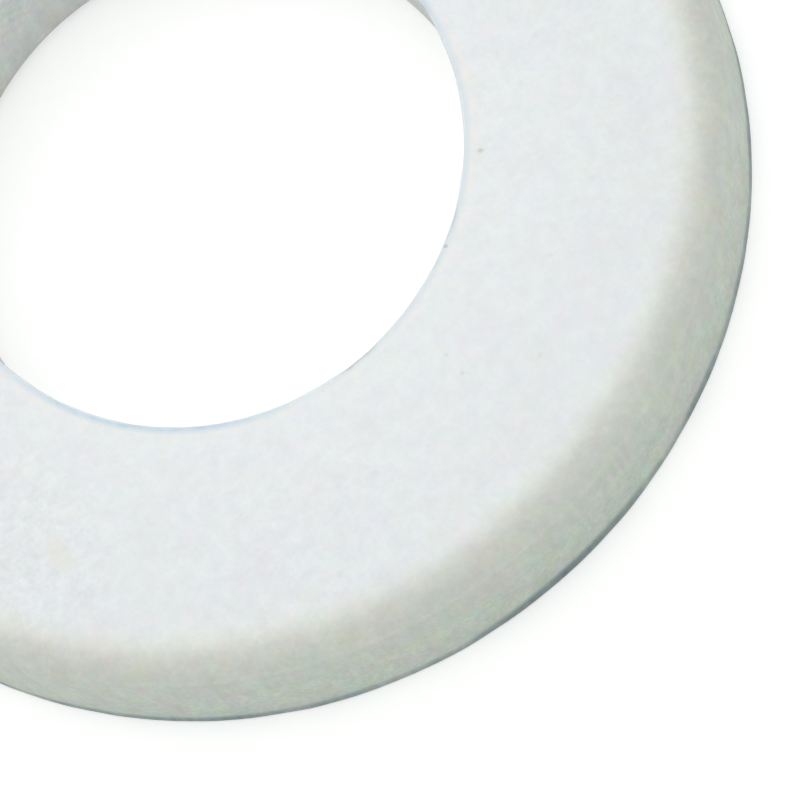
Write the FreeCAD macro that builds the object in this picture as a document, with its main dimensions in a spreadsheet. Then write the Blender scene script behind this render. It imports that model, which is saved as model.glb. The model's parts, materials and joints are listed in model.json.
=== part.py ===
import FreeCAD, Part
import os
import math
import Sketcher

# A plain flat washer of stamped steel: one flat ring, punched out of strip.
#
# Frame: millimetres, +Z up along the bore axis.  The washer lies on its
# underside, so the origin is on the bore axis in the plane of the underside.
#
# The ring is one revolved half section.  Going round it from the lower edge of
# the bore:
#
#            seat face (upper)
#        D ______________________ E .
#         |                          ` F   <- die roll, two tangent arcs
#   bore  |                            \ G
#   wall  |                            |
#         |                            |   outer wall (blanked edge)
#        C|                            | H
#         (                            |
#          `B_________________________/ I   <- broken edge, burr side
#              bearing face (under)
#
# The blanking die draws the upper outer edge down into a wide and shallow
# roll, and the piercing punch leaves its own small roll on the lower edge of
# the bore.  The two opposite edges are the burr side: tumbling leaves only a
# hair of a broken edge on them.

os.makedirs("parts", exist_ok=True)

doc = FreeCAD.newDocument("flat_washer")

# ---------------------------------------------------------------- dimensions
sheet = doc.addObject("Spreadsheet::Sheet", "Dimensions")
rows = [
    ("outer_diameter", "12.5", "outside diameter"),
    ("bore_diameter", "6.4", "clearance hole for an M6 screw"),
    ("thickness", "1.8", "overall thickness"),
    ("roll_width", "0.62", "die roll on the outer edge, radial width"),
    ("roll_depth", "0.34", "die roll on the outer edge, depth"),
    ("roll_tip", "0.10", "radius where the die roll meets the outer wall"),
    ("bore_roll", "0.22", "radius of the roll on the lower bore edge"),
    ("edge_break", "0.03", "broken edge on the burr sides"),
]
sheet.set("A1", "Dimension (mm)")
sheet.set("B1", "Value")
sheet.set("C1", "Meaning")
for i, (alias, value, note) in enumerate(rows, start=2):
    sheet.set("A%d" % i, alias)
    sheet.set("B%d" % i, value)
    sheet.setAlias("B%d" % i, alias)
    sheet.set("C%d" % i, note)
doc.recompute()


def dim(alias):
    return float(sheet.get(alias))


# Start values for the sketch; the constraints below bind it to the sheet.
ro = dim("outer_diameter") / 2
ri = dim("bore_diameter") / 2
tk = dim("thickness")
rw = dim("roll_width")
rd = dim("roll_depth")
rt = dim("roll_tip")
br = dim("bore_roll")
eb = dim("edge_break")

# The wide arc of the die roll is tangent to the seat face, and the tip arc is
# tangent to it and to the outer wall.  Its radius follows from the width and
# depth of the roll:
#   (rw - rt)^2 + (rb - rd)^2 = (rb - rt)^2
rb = ((rw - rt) ** 2 + rd ** 2 - rt ** 2) / (2 * (rd - rt))


def vec(x, y):
    return FreeCAD.Vector(x, y, 0)


def origin_plane(body, role):
    return next(f for f in body.Origin.OriginFeatures if f.Role == role)


# ---------------------------------------------------------------- the washer
washer = doc.addObject("PartDesign::Body", "washer")
washer.Label = "washer"

section = washer.newObject("Sketcher::SketchObject", "HalfSection")
section.AttachmentSupport = [(origin_plane(washer, "XZ_Plane"), "")]
section.MapMode = "FlatFace"
doc.recompute()

# Centres of the arcs, in the sketch (x = radius, y = height).
cb = (ri + br, br)                    # roll on the lower bore edge
cw = (ro - rw, tk - rb)               # wide arc of the die roll
ct = (ro - rt, tk - rd)               # tip arc of the die roll
join = math.atan2(ct[1] - cw[1], ct[0] - cw[0])   # where the two arcs meet


def on_arc(c, r, a):
    return vec(c[0] + r * math.cos(a), c[1] + r * math.sin(a))


B = vec(ri + br, 0)
C = vec(ri, br)
D0 = vec(ri, tk - eb)
D1 = vec(ri + eb, tk)
E = vec(ro - rw, tk)
F = on_arc(ct, rt, join)
G = vec(ro, tk - rd)
H = vec(ro, eb)
I = vec(ro - eb, 0)

NORMAL = FreeCAD.Vector(0, 0, 1)
start_of, end_of, centre_of = 1, 2, 3

under = section.addGeometry(Part.LineSegment(I, B), False)
bore_arc = section.addGeometry(
    Part.ArcOfCircle(Part.Circle(vec(*cb), NORMAL, br), math.pi, 1.5 * math.pi), False)
bore_wall = section.addGeometry(Part.LineSegment(C, D0), False)
bore_edge = section.addGeometry(Part.LineSegment(D0, D1), False)
seat = section.addGeometry(Part.LineSegment(D1, E), False)
wide_arc = section.addGeometry(
    Part.ArcOfCircle(Part.Circle(vec(*cw), NORMAL, rb), join, 0.5 * math.pi), False)
tip_arc = section.addGeometry(
    Part.ArcOfCircle(Part.Circle(vec(*ct), NORMAL, rt), 0.0, join), False)
outer_wall = section.addGeometry(Part.LineSegment(G, H), False)
outer_edge = section.addGeometry(Part.LineSegment(H, I), False)

con = section.addConstraint
# The roll arcs run smoothly into the faces beside them.
con(Sketcher.Constraint("Tangent", under, end_of, bore_arc, end_of))
con(Sketcher.Constraint("Tangent", bore_arc, start_of, bore_wall, start_of))
con(Sketcher.Constraint("Coincident", bore_wall, end_of, bore_edge, start_of))
con(Sketcher.Constraint("Coincident", bore_edge, end_of, seat, start_of))
con(Sketcher.Constraint("Tangent", seat, end_of, wide_arc, end_of))
con(Sketcher.Constraint("Tangent", wide_arc, start_of, tip_arc, end_of))
con(Sketcher.Constraint("Tangent", tip_arc, start_of, outer_wall, start_of))
con(Sketcher.Constraint("Coincident", outer_wall, end_of, outer_edge, start_of))
con(Sketcher.Constraint("Coincident", outer_edge, end_of, under, start_of))
con(Sketcher.Constraint("Horizontal", under))
con(Sketcher.Constraint("Vertical", bore_wall))
con(Sketcher.Constraint("Horizontal", seat))
con(Sketcher.Constraint("Vertical", outer_wall))
con(Sketcher.Constraint("PointOnObject", under, start_of, -1))


def bound(kind, name, args, expression):
    """Add a sizing constraint and bind it to the sheet."""
    number = con(Sketcher.Constraint(kind, *args))
    section.renameConstraint(number, name)
    section.setExpression("Constraints." + name, expression)


# Radii of the walls and the height of the seat face.
bound("DistanceX", "bore_r", (-1, start_of, bore_wall, start_of, ri),
      "Dimensions.bore_diameter / 2")
bound("DistanceX", "outer_r", (-1, start_of, outer_wall, end_of, ro),
      "Dimensions.outer_diameter / 2")
bound("DistanceY", "height", (-1, start_of, seat, start_of, tk),
      "Dimensions.thickness")
# The die roll on the outer edge.
bound("DistanceX", "roll_w", (seat, end_of, outer_wall, start_of, rw),
      "Dimensions.roll_width")
bound("DistanceY", "roll_d", (outer_wall, start_of, seat, end_of, rd),
      "Dimensions.roll_depth")
bound("Radius", "roll_r", (tip_arc, rt), "Dimensions.roll_tip")
# The roll on the lower bore edge.
bound("Radius", "bore_roll_r", (bore_arc, br), "Dimensions.bore_roll")
# The broken edges, 45 degrees.
bound("DistanceX", "bore_break_x", (bore_edge, start_of, bore_edge, end_of, eb),
      "Dimensions.edge_break")
bound("DistanceY", "bore_break_y", (bore_edge, start_of, bore_edge, end_of, eb),
      "Dimensions.edge_break")
bound("DistanceX", "outer_break_x", (outer_edge, end_of, outer_edge, start_of, eb),
      "Dimensions.edge_break")
bound("DistanceY", "outer_break_y", (outer_edge, end_of, outer_edge, start_of, eb),
      "Dimensions.edge_break")
doc.recompute()

ring = washer.newObject("PartDesign::Revolution", "Ring")
ring.Profile = section
ring.ReferenceAxis = (section, ["V_Axis"])
ring.Angle = 360.0
ring.Midplane = False
ring.Reversed = False
washer.Tip = ring
washer.Placement = FreeCAD.Placement(FreeCAD.Vector(0, 0, 0), FreeCAD.Rotation())
doc.recompute()

# -------------------------------------------------------------------- checks
for obj in doc.Objects:
    bad = [s for s in obj.State if s in ("Invalid", "Error")]
    if bad:
        raise RuntimeError("%s did not compute: %s" % (obj.Name, bad))

print("sketch freedom left:", section.solve(), "open:", section.detectMissingPointOnPointConstraints())

parts = [washer]
for part in parts:
    shape = part.Shape
    if shape.isNull() or not shape.isValid():
        raise RuntimeError("%s has no valid shape" % part.Label)
    if len(shape.Solids) != 1:
        raise RuntimeError("%s is %d solids" % (part.Label, len(shape.Solids)))

shape = washer.Shape
box = shape.optimalBoundingBox(False, False)
full = math.pi * (ro ** 2 - ri ** 2) * tk

# The volume of the ring by Pappus: the area of the half section times the path
# of its centre of area, checked against the solid.
face = Part.Face(Part.Wire(Part.__sortEdges__(section.Shape.Edges)))
pappus = face.Area * 2 * math.pi * math.hypot(face.CenterOfMass.x, face.CenterOfMass.y)
print("volume %.4f mm3, by Pappus %.4f, plain ring %.4f" % (shape.Volume, pappus, full))
if abs(shape.Volume - pappus) > 1e-3 * full or not 0.95 * full < shape.Volume < full:
    raise RuntimeError("the washer's volume is wrong")
for got, want in ((box.XLength, 2 * ro), (box.YLength, 2 * ro), (box.ZLength, tk), (box.ZMin, 0.0)):
    if abs(got - want) > 1e-3:
        raise RuntimeError("the washer's size is wrong: %.4f for %.4f" % (got, want))
print("size %.3f x %.3f x %.3f mm, wide roll radius %.4f mm" % (box.XLength, box.YLength, box.ZLength, rb))

# -------------------------------------------------------------------- export
for part in parts:
    part.Shape.exportStep("parts/%s.step" % part.Label)
    print("wrote parts/%s.step" % part.Label)
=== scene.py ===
"""Looks for a plain flat washer: a stamped steel ring, zinc plated and clear passivated.

Everything is in metres, in the frame of the CAD model: +Z up along the bore axis, underside at z = 0.
"""

import json
import math

import bpy
import numpy as np
from mathutils import Matrix, Vector


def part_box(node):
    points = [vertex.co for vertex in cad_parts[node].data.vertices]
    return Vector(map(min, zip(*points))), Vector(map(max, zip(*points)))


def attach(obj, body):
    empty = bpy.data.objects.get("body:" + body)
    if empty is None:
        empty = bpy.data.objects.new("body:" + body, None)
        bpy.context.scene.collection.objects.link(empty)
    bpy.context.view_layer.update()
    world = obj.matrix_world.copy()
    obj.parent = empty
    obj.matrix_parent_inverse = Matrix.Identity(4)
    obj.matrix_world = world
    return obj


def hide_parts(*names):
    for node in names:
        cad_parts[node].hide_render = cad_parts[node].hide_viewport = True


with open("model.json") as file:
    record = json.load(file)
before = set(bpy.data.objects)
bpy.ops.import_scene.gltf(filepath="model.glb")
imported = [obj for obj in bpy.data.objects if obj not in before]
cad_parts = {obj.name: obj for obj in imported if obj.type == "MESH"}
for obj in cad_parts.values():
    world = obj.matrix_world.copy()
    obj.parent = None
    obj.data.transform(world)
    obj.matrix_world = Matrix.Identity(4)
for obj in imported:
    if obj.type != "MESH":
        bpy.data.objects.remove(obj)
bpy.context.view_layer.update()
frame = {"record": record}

MM = 0.001

# ------------------------------------------------------------------ sizes, in mm, as in the CAD model
lo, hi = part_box("washer")
BORE = [m for m in frame["record"]["mounts"] if m["name"] == "bore"][0]
RO = 6.25                                  # outer radius
RI = BORE["dims"]["r_mm"]                  # bore radius
T = (hi.z - lo.z) / MM                     # thickness
ROLL_W, ROLL_D, ROLL_TIP = 0.62, 0.34, 0.10   # die roll: width, depth, tip radius
BORE_ROLL = 0.22                           # roll on the lower bore edge
BREAK = 0.03                               # broken edge on the burr sides
ROLL_R = ((ROLL_W - ROLL_TIP) ** 2 + ROLL_D**2 - ROLL_TIP**2) / (2 * (ROLL_D - ROLL_TIP))

N = 640                                    # steps round the ring


# ------------------------------------------------------------------ the half section
def build_profile():
    """Points round the half section, outward normals, and the zone that each belongs to."""
    pts, nrm, zone = [], [], []

    def line(a, b, n, normal, name):
        for i in range(n):
            f = i / n
            pts.append((a[0] + (b[0] - a[0]) * f, a[1] + (b[1] - a[1]) * f))
            nrm.append(normal)
            zone.append(name)

    def arc(c, r, a0, a1, n, name, sign=1.0):
        for i in range(n):
            a = a0 + (a1 - a0) * i / n
            pts.append((c[0] + r * math.cos(a), c[1] + r * math.sin(a)))
            nrm.append((sign * math.cos(a), sign * math.sin(a)))
            zone.append(name)

    join = math.acos((ROLL_W - ROLL_TIP) / (ROLL_R - ROLL_TIP))
    h = math.pi / 2
    line((RI + BORE_ROLL, 0), (RO - BREAK, 0), 36, (0, -1), "under")
    arc((RO - BREAK, BREAK), BREAK, -h, 0, 3, "outer_break")
    line((RO, BREAK), (RO, T - ROLL_D), 22, (1, 0), "outer")
    arc((RO - ROLL_TIP, T - ROLL_D), ROLL_TIP, 0, join, 4, "roll")
    arc((RO - ROLL_W, T - ROLL_R), ROLL_R, join, h, 10, "roll")
    line((RO - ROLL_W, T), (RI + BREAK, T), 40, (0, 1), "face")
    arc((RI + BREAK, T - BREAK), BREAK, h, 2 * h, 3, "bore_break")
    line((RI, T - BREAK), (RI, BORE_ROLL), 18, (-1, 0), "bore")
    arc((RI + BORE_ROLL, BORE_ROLL), BORE_ROLL, 2 * h, 3 * h, 6, "bore_roll")
    return np.array(pts), np.array(nrm), np.array(zone)


P, PN, ZONE = build_profile()
RINGS = len(P)
STEP = np.hypot(*(np.roll(P, -1, axis=0) - P).T)
S = np.concatenate([[0.0], np.cumsum(STEP)])   # distance round the section
LOOP = S[-1]
S = S[:-1]
TH = np.arange(N) * 2 * math.pi / N
R_MEAN = (RO + RI) / 2


def relief(seed, along, across):
    """Smooth seeded noise of unit spread over the whole skin, the same at both ends of each direction.
    along and across are its grain in mm, round the ring and round the section."""
    gs, gt = 384, 1536
    rng = np.random.default_rng(seed)
    spec = np.fft.fft2(rng.standard_normal((gs, gt)))
    fs = np.fft.fftfreq(gs, LOOP / gs)[:, None]
    ft = np.fft.fftfreq(gt, 2 * math.pi * R_MEAN / gt)[None, :]
    spec = spec * np.exp(-2 * (math.pi**2) * ((fs * across) ** 2 + (ft * along) ** 2) / 4)
    spec[0, 0] = 0
    g = np.fft.ifft2(spec).real
    g /= g.std()
    u = S / LOOP * gs
    v = TH / (2 * math.pi) * gt
    i0, j0 = np.floor(u).astype(int), np.floor(v).astype(int)
    fu, fv = (u - i0)[:, None], (v - j0)[None, :]
    i1, j1 = (i0 + 1) % gs, (j0 + 1) % gt
    i0, j0 = i0 % gs, j0 % gt
    return (
        g[np.ix_(i0, j0)] * (1 - fu) * (1 - fv)
        + g[np.ix_(i1, j0)] * fu * (1 - fv)
        + g[np.ix_(i0, j1)] * (1 - fu) * fv
        + g[np.ix_(i1, j1)] * fu * fv
    )


def smooth(a, b, x):
    f = np.clip((x - a) / (b - a), 0, 1)
    return f * f * (3 - 2 * f)


def is_in(*names):
    return np.isin(ZONE, names)[:, None].astype(float)


rr, zz = P[:, 0][:, None], P[:, 1][:, None]

# The sheared walls: a land that the die burnished, then the fracture, rougher and a hair further in.
land_o = 0.94 + 0.05 * relief(11, 1.6, 9.0) + 0.018 * relief(12, 0.18, 9.0)   # height of the land's edge, outer wall
land_b = 0.92 - 0.05 * relief(13, 1.4, 9.0) + 0.018 * relief(14, 0.16, 9.0)   # and bore wall, where the land is below
torn_o = is_in("outer", "outer_break") * smooth(0.05, -0.07, zz - land_o)
torn_b = is_in("bore", "bore_break") * smooth(-0.05, 0.07, zz - land_b)
torn = torn_o + torn_b

rough_a = relief(21, 0.16, 0.20)
rough_b = relief(22, 0.34, 0.42)
drag = relief(23, 0.10, 2.2)
flat = relief(31, 2.6, 2.2)
mid = relief(32, 0.8, 0.8)

depth = np.zeros((RINGS, N))
depth += torn * (0.0065 + 0.0016 * rough_a + 0.0016 * rough_b)
depth += torn_o * 0.006 * smooth(0.9, 0.0, zz) + torn_b * 0.006 * smooth(0.9, T, zz)
depth += is_in("outer", "bore") * 0.0006 * np.abs(drag)
depth += is_in("face", "under") * (0.0016 + 0.0006 * flat + 0.0002 * mid)
depth += is_in("roll", "bore_roll") * (0.0024 + 0.0010 * mid)
depth += is_in("outer_break", "bore_break") * (0.003 + 0.0022 * np.clip(rough_b, -1.2, 2.2))

# Tumbling in the barrel leaves shallow dings.
rng = np.random.default_rng(41)
for _ in range(150):
    th0 = rng.uniform(0, 2 * math.pi)
    top = rng.random() < 0.5
    r0 = math.sqrt(rng.uniform((RI + 0.15) ** 2, (RO - 0.12) ** 2))
    size = 0.045 + 0.10 * rng.random() ** 2.2
    deep = (0.0006 + 0.0016 * rng.random()) * (size / 0.08)
    turn = rng.uniform(0, math.pi)
    stretch = 1.0 + 1.2 * rng.random() ** 2
    side = is_in("face", "roll") if top else is_in("under", "bore_roll")
    x = rr * np.cos(TH) - r0 * math.cos(th0)
    y = rr * np.sin(TH) - r0 * math.sin(th0)
    a = (x * math.cos(turn) + y * math.sin(turn)) / stretch
    b = -x * math.sin(turn) + y * math.cos(turn)
    depth += side * deep * np.exp(-(a * a + b * b) / (2 * size * size / 2.2))

# The relief only ever goes into the metal, and fades a little across each change of zone.
depth = np.clip(depth, 0, 0.03)
for _ in range(2):
    depth = 0.5 * depth + 0.25 * (np.roll(depth, 1, 0) + np.roll(depth, -1, 0))

RAD = P[:, 0][:, None] - PN[:, 0][:, None] * depth
HGT = P[:, 1][:, None] - PN[:, 1][:, None] * depth
verts = np.stack([RAD * np.cos(TH), RAD * np.sin(TH), HGT], -1).reshape(-1, 3) * MM

i = np.arange(RINGS)[:, None]
j = np.arange(N)[None, :]
i2, j2 = (i + 1) % RINGS, (j + 1) % N
quads = np.stack([i * N + j, i * N + j2, i2 * N + j2, i2 * N + j], -1).reshape(-1, 4)

mesh = bpy.data.meshes.new("washer_skin")
mesh.vertices.add(len(verts))
mesh.vertices.foreach_set("co", verts.astype(np.float32).ravel())
mesh.loops.add(quads.size)
mesh.loops.foreach_set("vertex_index", quads.astype(np.int32).ravel())
mesh.polygons.add(len(quads))
mesh.polygons.foreach_set("loop_start", (np.arange(len(quads)) * 4).astype(np.int32))
mesh.update(calc_edges=True)
mesh.validate()
mesh.polygons.foreach_set("use_smooth", np.ones(len(mesh.polygons), bool))


def attribute(name, values):
    a = mesh.attributes.new(name, "FLOAT", "POINT")
    a.data.foreach_set("value", np.broadcast_to(values, (RINGS, N)).astype(np.float32).ravel())


# How far a point has turned from the face, over the die roll, to the outer wall: 0 on the face, 1 on the wall.
nz = PN[:, 1][:, None]
outer = is_in("outer", "outer_break")
side = np.clip(outer + is_in("roll") * (1 - np.arcsin(np.clip(nz, 0, 1)) / (math.pi / 2)), 0, 1)
attribute("side", side)
attribute("skirt", 0.5 * side + 0.5 * outer * np.clip(1 - zz / (T - ROLL_D), 0, 1))   # 0.5 to 1 is down the wall
attribute("outer", outer)
attribute("bore", is_in("bore", "bore_break") + is_in("bore_roll") * (1 - np.clip(-nz, 0, 1)))
attribute("torn", torn)
# Reach of the painted light on the face: 0 from the roll in to r = 5.4 mm, rising to 1 at the bore.
attribute("inner", is_in("face") * np.clip((5.4 - rr) / (5.4 - 3.3), 0, 1))

# Stretches of the rim where the painted shade at the foot of the outer wall runs higher and darker: azimuth, half
# width, weight.
burr = np.zeros((1, N))
for at, wide, weight in (
    (-84, 12, 1.0),
    (-61, 4, 0.35),
    (-44, 22, 0.40),
    (-26, 12, 0.45),
    (-112, 5, 0.30),
    (-130, 13, 0.35),
    (-160, 7, 0.50),
    (37, 9, 0.45),
    (128, 14, 0.60),
):
    away = (np.degrees(TH) - at + 180) % 360 - 180
    burr += weight * np.exp(-((away / wide) ** 4))[None, :]
attribute("burr", np.clip(burr, 0, 1) + 0 * zz)

# How thick the film is on the bore's edge, round the ring.
lip = 0.42 + np.zeros((1, N))
for at, wide, weight in ((-137, 26, 0.58), (12, 20, 0.40), (-92, 14, -0.14), (105, 24, 0.35), (165, 12, -0.15)):
    away = (np.degrees(TH) - at + 180) % 360 - 180
    lip += weight * np.exp(-((away / wide) ** 4))[None, :]
attribute("lip", np.clip(lip, 0, 1) + 0 * zz)

washer = bpy.data.objects.new("washer_plated", mesh)
bpy.context.scene.collection.objects.link(washer)


# ------------------------------------------------------------------ material
def new_material(name):
    m = bpy.data.materials.new(name)
    m.use_nodes = True
    return m, m.node_tree.nodes, m.node_tree.links


class Nodes:
    """Short forms for the nodes that the zinc finish uses."""

    def __init__(self, tree):
        self.tree = tree

    def add(self, kind, **values):
        n = self.tree.nodes.new(kind)
        for k, v in values.items():
            setattr(n, k, v)
        return n

    def put(self, socket, value):
        if isinstance(value, bpy.types.NodeSocket):
            self.tree.links.new(value, socket)
        else:
            socket.default_value = value

    def math(self, op, a, b=0.0, c=None, clamp=False):
        n = self.add("ShaderNodeMath", operation=op, use_clamp=clamp)
        self.put(n.inputs[0], a)
        self.put(n.inputs[1], b)
        if c is not None:
            self.put(n.inputs[2], c)
        return n.outputs[0]

    def remap(self, value, a, b, c, d):
        n = self.add("ShaderNodeMapRange", clamp=True)
        for socket, v in zip(n.inputs, (value, a, b, c, d)):
            self.put(socket, v)
        return n.outputs[0]

    def mix(self, factor, a, b, blend="MIX"):
        n = self.add("ShaderNodeMix", data_type="RGBA", blend_type=blend)
        self.put(n.inputs[0], factor)
        self.put(n.inputs[6], a)
        self.put(n.inputs[7], b)
        return n.outputs[2]

    def noise(self, vector, scale, detail=2.0, rough=0.5, distortion=0.0):
        n = self.add("ShaderNodeTexNoise")
        self.put(n.inputs["Vector"], vector)
        self.put(n.inputs["Scale"], scale)
        self.put(n.inputs["Detail"], detail)
        self.put(n.inputs["Roughness"], rough)
        self.put(n.inputs["Distortion"], distortion)
        return n.outputs["Fac"], n.outputs["Color"]

    def scaled(self, vector, scale):
        n = self.add("ShaderNodeMapping")
        self.put(n.inputs["Vector"], vector)
        self.put(n.inputs["Scale"], scale)
        return n.outputs["Vector"]

    def spot(self, x, y, at, half, turn=0.0):
        """1 inside an ellipse on the plan, fading to 0 just outside it."""
        c, s = math.cos(turn), math.sin(turn)
        dx, dy = self.math("SUBTRACT", x, at[0]), self.math("SUBTRACT", y, at[1])
        a = self.math("ADD", self.math("MULTIPLY", dx, c / half[0]), self.math("MULTIPLY", dy, s / half[0]))
        b = self.math("ADD", self.math("MULTIPLY", dx, -s / half[1]), self.math("MULTIPLY", dy, c / half[1]))
        d = self.math("SQRT", self.math("ADD", self.math("MULTIPLY", a, a), self.math("MULTIPLY", b, b)))
        return self.remap(d, 0.6, 1.4, 1.0, 0.0)

    def attr(self, name):
        return self.add("ShaderNodeAttribute", attribute_name=name).outputs["Fac"]


def zinc():
    mat, nodes, links = new_material("zinc_clear_passivated")
    k = Nodes(mat.node_tree)
    bsdf = nodes["Principled BSDF"]
    place = k.add("ShaderNodeTexCoord").outputs["Object"]
    mm = k.scaled(place, (1000.0, 1000.0, 1000.0))          # one unit is 1 mm
    down = k.scaled(place, (1000.0, 1000.0, 90.0))          # drawn out along the walls

    level = k.scaled(place, (1000.0, 1000.0, 0.0))          # runs round the rim only
    drawn = k.scaled(place, (1000.0, 1000.0, 600.0))        # a little longer down the walls than round them
    xyz = k.add("ShaderNodeSeparateXYZ")
    k.put(xyz.inputs[0], mm)
    x, y, z = xyz.outputs
    radius = k.math("SQRT", k.math("ADD", k.math("MULTIPLY", x, x), k.math("MULTIPLY", y, y)))

    side, skirt, outer, bore, torn, inner, burr, lip = (
        k.attr(a) for a in ("side", "skirt", "outer", "bore", "torn", "inner", "burr", "lip")
    )
    wall = k.math("MAXIMUM", side, bore)

    broad, broad_c = k.noise(mm, 1.1, 3.0, 0.55)
    _, patch_c = k.noise(drawn, 3.9, 3.0, 0.6)
    grain, _ = k.noise(mm, 16.0, 3.0, 0.62)
    fine, _ = k.noise(mm, 46.0, 2.0, 0.6)
    mottle, _ = k.noise(drawn, 5.5, 3.0, 0.6, 0.4)
    streak, _ = k.noise(down, 14.0, 3.0, 0.6)
    # Wavering strength of the painted shade at the foot of the outer wall.
    foot_shade_wobble_a, _ = k.noise(level, 1.3, 2.0, 0.5)
    foot_shade_wobble_b, _ = k.noise(level, 7.0, 2.0, 0.6)

    # Scattered pits in the plating.
    cells = k.add("ShaderNodeTexVoronoi", feature="F1")
    k.put(cells.inputs["Vector"], mm)
    cells.inputs["Scale"].default_value = 1.9
    chance = k.add("ShaderNodeSeparateColor")
    k.put(chance.inputs[0], cells.outputs["Color"])
    pit = k.remap(cells.outputs["Distance"], 0.045, 0.105, 1.0, 0.0)
    pit = k.math("MULTIPLY", pit, k.remap(chance.outputs[0], 0.45, 0.75, 0.0, 1.0))

    # Short fine scratches from the tumbling barrel, in three directions.
    scratch = None
    for turn, where, lowest in ((0.35, 2.0, 0.685), (1.45, 31.0, 0.680), (2.45, 57.0, 0.685)):
        n = k.add("ShaderNodeMapping")
        k.put(n.inputs["Vector"], mm)
        n.inputs["Location"].default_value = (where, where, 0.0)
        n.inputs["Rotation"].default_value = (0.0, 0.0, turn)
        n.inputs["Scale"].default_value = (19.0, 1.3, 1.0)
        f, _ = k.noise(n.outputs["Vector"], 1.0, 1.0, 0.5, 0.15)
        f = k.remap(f, lowest, lowest + 0.05, 0.0, 1.0)
        scratch = f if scratch is None else k.math("MAXIMUM", scratch, f)
    scratch = k.math("MULTIPLY", scratch, k.math("SUBTRACT", 1.0, wall, clamp=True))

    # Colour: bluish white zinc on the flats, cream where the roll begins, grey green on the sheared wall. The ramp also
    # holds painted light and shade: it is painted lighter where the roll begins, and painted shade darkens the roll's
    # tip and the top of the outer wall.
    ramp = k.add("ShaderNodeValToRGB")
    k.put(ramp.inputs[0], skirt)
    el = ramp.color_ramp.elements
    el[0].position, el[0].color = 0.0, (0.753, 0.770, 0.782, 1)
    el[1].position, el[1].color = 1.0, (0.760, 0.822, 0.762, 1)
    for p, c in (
        (0.040, (0.756, 0.775, 0.770)),
        (0.080, (0.763, 0.780, 0.753)),
        (0.125, (0.773, 0.789, 0.746)),
        (0.180, (0.786, 0.804, 0.746)),
        (0.220, (0.767, 0.797, 0.734)),
        (0.265, (0.733, 0.770, 0.705)),
        (0.340, (0.722, 0.761, 0.699)),
        (0.430, (0.727, 0.766, 0.703)),
        (0.500, (0.743, 0.785, 0.722)),
        (0.600, (0.751, 0.797, 0.733)),
        (0.750, (0.766, 0.816, 0.751)),
    ):
        e = el.new(p)
        e.color = (*c, 1)
    # The bore wall gets a lighter colour than the outer wall: painted light that lifts it out of the shade inside the
    # bore.
    colour = k.mix(k.math("MULTIPLY", bore, 0.90), ramp.outputs[0], (0.860, 0.885, 0.865, 1))

    # Passivation film: faint drifts of blue, cream, green and pink.
    colour = k.mix(k.remap(wall, 0.0, 1.0, 0.033, 0.090), colour, patch_c, "LINEAR_LIGHT")
    colour = k.mix(0.015, colour, broad_c, "LINEAR_LIGHT")

    # How uneven the zinc is: more round one worn patch of the face, less over another.
    uneven = k.math("ADD", 1.0, k.math("MULTIPLY", k.spot(x, y, (-4.23, -2.67), (1.0, 0.75), 1.1), 0.75))
    uneven = k.math("ADD", uneven, k.math("MULTIPLY", k.spot(x, y, (-1.94, -4.68), (1.5, 1.0), 0.3), 0.18))
    uneven = k.math("SUBTRACT", uneven, k.math("MULTIPLY", k.spot(x, y, (1.95, -4.34), (1.5, 1.0), -0.5), 0.20))

    # Light and dark mottling of the zinc, stronger on the sheared walls, and painted light that makes the face a little
    # brighter inward, towards the bore.
    speckle = k.math("MULTIPLY", k.math("SUBTRACT", grain, 0.5), uneven)
    shade = k.math("ADD", 1.0, k.math("MULTIPLY", speckle, k.remap(wall, 0.0, 1.0, 0.13, 0.19)))
    shade = k.math("MULTIPLY", shade, k.math("ADD", 1.0, k.math("MULTIPLY", k.math("SUBTRACT", grain, 0.5), k.math("MULTIPLY", torn, 0.16))))
    shade = k.math("MULTIPLY", shade, k.math("SUBTRACT", 1.0, k.math("MULTIPLY", torn, 0.014)))
    shade = k.math("MULTIPLY", shade, k.math("SUBTRACT", 1.0, k.math("MULTIPLY", pit, 0.050)))
    cloud = k.math("MULTIPLY", k.math("SUBTRACT", mottle, 0.5), uneven)
    shade = k.math("MULTIPLY", shade, k.math("ADD", 1.0, k.math("MULTIPLY", cloud, k.remap(wall, 0.0, 1.0, 0.135, 0.235))))
    land = k.math("SUBTRACT", wall, torn, clamp=True)
    drawn_line = k.math("MULTIPLY", k.math("SUBTRACT", streak, 0.5), k.math("MULTIPLY", land, 0.16))
    shade = k.math("MULTIPLY", shade, k.math("ADD", 1.0, drawn_line))
    shade = k.math("MULTIPLY", shade, k.math("ADD", 1.0, k.math("MULTIPLY", inner, 0.040)))
    shade = k.math("MULTIPLY", shade, k.math("ADD", 1.0, k.math("MULTIPLY", scratch, 0.004)))
    grey = k.add("ShaderNodeCombineColor")
    for n in range(3):
        k.put(grey.inputs[n], shade)
    colour = k.mix(1.0, colour, grey.outputs[0], "MULTIPLY")

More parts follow.
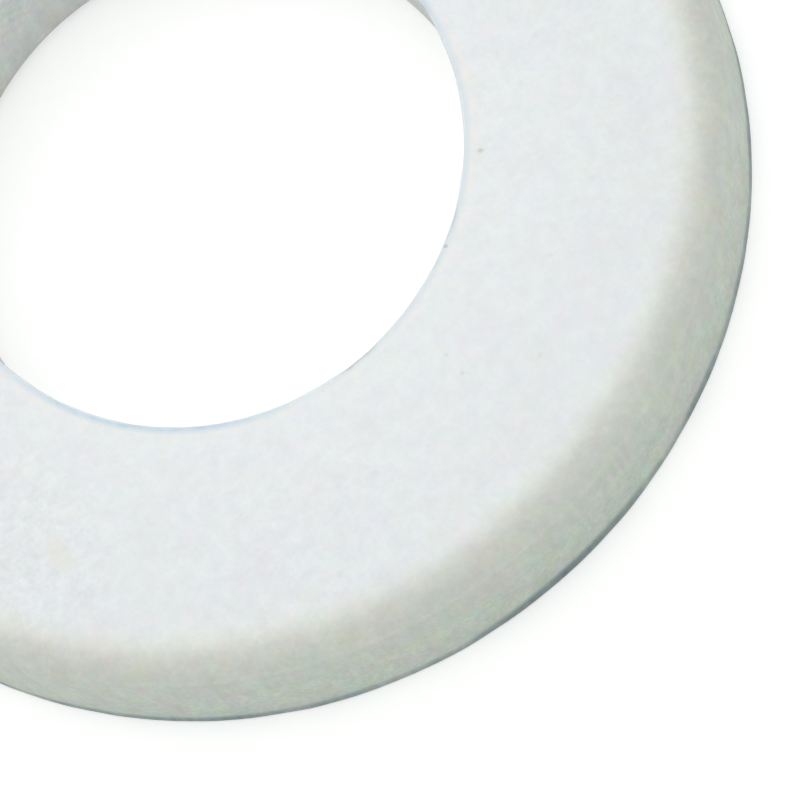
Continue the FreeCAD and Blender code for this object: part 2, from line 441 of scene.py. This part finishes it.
    # The film thickens towards the sharp edge of the bore: a broken cream fringe and a thin pale blue line. On the edge
    # itself a near-white painted highlight.
    on_edge = k.remap(z, T - 0.07, T - 0.03, 0.0, 1.0)
    fringe = k.math("MULTIPLY", k.remap(radius, RI + 0.200, RI + 0.150, 0.0, 1.0), on_edge)
    fringe = k.math("MULTIPLY", fringe, k.remap(radius, RI + 0.080, RI + 0.115, 0.0, 1.0))
    fringe = k.math("MULTIPLY", fringe, k.remap(mottle, 0.45, 0.62, 0.0, 0.75))
    colour = k.mix(fringe, colour, (0.835, 0.812, 0.765, 1))
    rim = k.math("MULTIPLY", k.remap(radius, RI + 0.122, RI + 0.068, 0.0, 1.0), on_edge)
    rim = k.math("MULTIPLY", rim, k.math("MULTIPLY", lip, k.remap(mottle, 0.38, 0.60, 0.60, 1.05)), clamp=True)
    colour = k.mix(rim, colour, (0.600, 0.706, 0.805, 1))
    # Painted highlight along the bore's sharp top edge.
    painted_edge_highlight = k.math("MULTIPLY", k.remap(radius, RI + 0.040, RI + 0.024, 0.0, 0.85), on_edge)
    colour = k.mix(painted_edge_highlight, colour, (0.945, 0.975, 1.0, 1))

    # Single marks on the face: specks and one cream stain. Place and half size in mm, turn, colour, strength.
    on_top = k.remap(z, T - 0.06, T - 0.02, 0.0, 1.0)
    for at, half, turn, tint, much in (
        ((2.694, -2.106), (0.034, 0.026), -0.5, (0.50, 0.61, 0.56), 0.75),
        ((2.815, -2.122), (0.034, 0.030), 0.0, (0.84, 0.83, 0.87), 0.60),
        ((1.694, -2.781), (0.026, 0.022), 0.0, (0.52, 0.51, 0.51), 0.70),
        ((1.772, -4.581), (0.034, 0.026), 0.3, (0.62, 0.65, 0.58), 0.40),
        ((0.922, -3.860), (0.026, 0.022), 0.0, (0.60, 0.66, 0.56), 0.40),
        ((0.940, -4.160), (0.030, 0.022), 0.8, (0.60, 0.58, 0.60), 0.40),
        ((-4.002, -2.847), (0.23, 0.115), 1.53, (0.765, 0.760, 0.680), 0.75),
    ):
        spot = k.math("MULTIPLY", k.spot(x, y, at, half, turn), on_top)
        if half[0] > 0.1:
            spot = k.math("MULTIPLY", spot, k.remap(mottle, 0.36, 0.60, 0.35, 1.0))
        colour = k.mix(k.math("MULTIPLY", spot, much), colour, (*tint, 1))

    # The foot of the outer wall: a thin dark line of painted shade where the wall meets the table, running higher and
    # darker along the stretches listed above.
    painted_foot_shade_top = k.math("ADD", 0.210, k.math("MULTIPLY", burr, 0.070))
    painted_foot_shade_full = k.math("ADD", 0.105, k.math("MULTIPLY", burr, 0.055))
    painted_foot_shade = k.math("MULTIPLY", outer, k.remap(z, painted_foot_shade_top, painted_foot_shade_full, 0.0, 1.0))
    foot_shade_depth = k.math("ADD", 0.34, k.math("MULTIPLY", k.math("SUBTRACT", foot_shade_wobble_a, 0.5), 0.6))
    foot_shade_depth = k.math("ADD", foot_shade_depth, k.math("MULTIPLY", k.math("SUBTRACT", foot_shade_wobble_b, 0.5), 0.45))
    foot_shade_depth = k.math("ADD", foot_shade_depth, k.math("MULTIPLY", burr, 0.22), clamp=True)
    colour = k.mix(k.math("MULTIPLY", painted_foot_shade, foot_shade_depth), colour, (0.120, 0.205, 0.275, 1))
    k.put(bsdf.inputs["Base Color"], colour)

    bsdf.inputs["Metallic"].default_value = 1.0

    # Roughness: satin on the flats, brighter on the burnished land, dull in the fracture.
    rough = k.remap(grain, 0.2, 0.8, 0.43, 0.52)
    rough = k.math("ADD", rough, k.remap(broad, 0.3, 0.7, -0.02, 0.02))
    rough = k.math("ADD", rough, k.math("MULTIPLY", torn, 0.10))
    rough = k.math("SUBTRACT", rough, k.math("MULTIPLY", scratch, 0.03))
    rough = k.math("ADD", rough, k.math("MULTIPLY", land, -0.03))
    k.put(bsdf.inputs["Roughness"], rough)

    # Relief finer than the mesh: plating grain, and drag lines down the sheared walls.
    h1 = k.math("MULTIPLY", grain, k.remap(torn, 0.0, 1.0, 0.0006, 0.0030))
    h2 = k.math("MULTIPLY", fine, k.remap(torn, 0.0, 1.0, 0.00016, 0.0008))
    h1 = k.math("SUBTRACT", h1, k.math("MULTIPLY", pit, 0.0012))
    h3 = k.math("SUBTRACT", k.math("MULTIPLY", streak, k.math("MULTIPLY", land, 0.0014)), k.math("MULTIPLY", scratch, 0.00015))
    bump = k.add("ShaderNodeBump")
    bump.inputs["Strength"].default_value = 1.0
    bump.inputs["Distance"].default_value = 0.001
    k.put(bump.inputs["Height"], k.math("ADD", k.math("ADD", h1, h2), h3))
    k.put(bsdf.inputs["Normal"], bump.outputs[0])
    return mat


mesh.materials.append(zinc())
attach(washer, "root")
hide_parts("washer")

# ------------------------------------------------------------------ floor: a plain white table
floor_mesh = bpy.data.meshes.new("floor")
w = 1.2
floor_mesh.from_pydata([(-w, -w, 0), (w, -w, 0), (w, w, 0), (-w, w, 0)], [], [(0, 1, 2, 3)])
floor = bpy.data.objects.new("floor", floor_mesh)
floor.location.z = -0.000002
bpy.context.scene.collection.objects.link(floor)
fm, fn, fl = new_material("white_table")
fb = fn["Principled BSDF"]
fb.inputs["Base Color"].default_value = (0.86, 0.86, 0.855, 1)
fb.inputs["Roughness"].default_value = 0.9
fb.inputs["Specular IOR Level"].default_value = 0.0
floor_mesh.materials.append(fm)

# A white ground is overexposed in a catalogue picture. This thin veil over the table adds that glare for the eye;
# the washer itself still reflects the plain table.
veil = bpy.data.objects.new("floor_glare", floor_mesh.copy())
veil.location.z = -0.000001
bpy.context.scene.collection.objects.link(veil)
vm, vn, vl = new_material("glare")
glow = vn.new("ShaderNodeEmission")
glow.inputs["Strength"].default_value = 0.40
clear = vn.new("ShaderNodeBsdfTransparent")
both = vn.new("ShaderNodeAddShader")
vl.new(glow.outputs[0], both.inputs[0])
vl.new(clear.outputs[0], both.inputs[1])
vl.new(both.outputs[0], vn["Material Output"].inputs["Surface"])
vn.remove(vn["Principled BSDF"])
veil.data.materials.clear()
veil.data.materials.append(vm)
veil.visible_diffuse = veil.visible_glossy = veil.visible_transmission = veil.visible_shadow = False

# ------------------------------------------------------------------ light: one large softbox and a dim room
world = bpy.data.worlds.new("room")
bpy.context.scene.world = world
world.use_nodes = True
bg = world.node_tree.nodes["Background"]
bg.inputs["Color"].default_value = (0.99, 1.0, 0.985, 1)
bg.inputs["Strength"].default_value = 0.70


def softbox(name, azimuth, elevation, distance, size, radiance, colour):
    """A square softbox that looks at the washer. radiance is how bright it looks; the floor far off is about 1."""
    light = bpy.data.lights.new(name, "AREA")
    light.shape = "SQUARE"
    light.size = size
    light.color = colour
    light.energy = radiance * math.pi * size * size
    o = bpy.data.objects.new(name, light)
    a, e = math.radians(azimuth), math.radians(elevation)
    d = Vector((math.sin(a) * math.cos(e), math.cos(a) * math.cos(e), math.sin(e)))
    o.location = d * distance
    o.rotation_mode = "QUATERNION"
    o.rotation_quaternion = d.to_track_quat("Z", "Y")
    o.visible_camera = False
    bpy.context.scene.collection.objects.link(o)
    return o


softbox("key", 0, 61, 0.50, 1.05, 0.42, (0.985, 1.0, 1.01))

# ------------------------------------------------------------------ camera: long lens, looking down on the near side
LINE, ELEV, ROLL = 180.0, 66.08, -37.98          # mm, degrees, degrees
AT_X, AT_Y, PX_MM = 194.1, 162.6, 86.15          # where the washer's centre falls in the 800 x 800 frame, and its scale


def place_camera():
    cam = bpy.data.cameras.new("camera")
    o = bpy.data.objects.new("camera", cam)
    bpy.context.scene.collection.objects.link(o)
    f = PX_MM * LINE                              # focal length in pixels
    cam.sensor_width = 36.0
    cam.lens = f * 36.0 / 800.0
    el, roll = math.radians(ELEV), math.radians(ROLL)
    fwd = np.array([0, math.cos(el), -math.sin(el)])
    right = np.array([1.0, 0, 0])
    up = np.cross(right, fwd)
    r2 = math.cos(roll) * right + math.sin(roll) * up
    u2 = -math.sin(roll) * right + math.cos(roll) * up
    d = np.array([(AT_X - 400) / f, -(AT_Y - 400) / f, 1.0])
    d /= np.linalg.norm(d)
    v = np.cross([0, 0, 1.0], d)
    s, c = np.linalg.norm(v), d[2]
    k = np.array([[0, -v[2], v[1]], [v[2], 0, -v[0]], [-v[1], v[0], 0]])
    turn = np.eye(3) + k + k @ k * ((1 - c) / s**2)
    axes = turn @ np.stack([r2, u2, fwd])         # rows: the camera's right, up and forward
    at = np.array([0, 0, T]) * MM - fwd * LINE * MM
    m = Matrix.Identity(4)
    for n in range(3):
        m[n][0], m[n][1], m[n][2], m[n][3] = axes[0][n], axes[1][n], -axes[2][n], at[n]
    o.matrix_world = m
    cam.clip_start, cam.clip_end = 0.01, 10.0
    bpy.context.scene.camera = o


place_camera()
bpy.context.scene.view_settings.view_transform = "Standard"
bpy.context.scene.view_settings.look = "None"
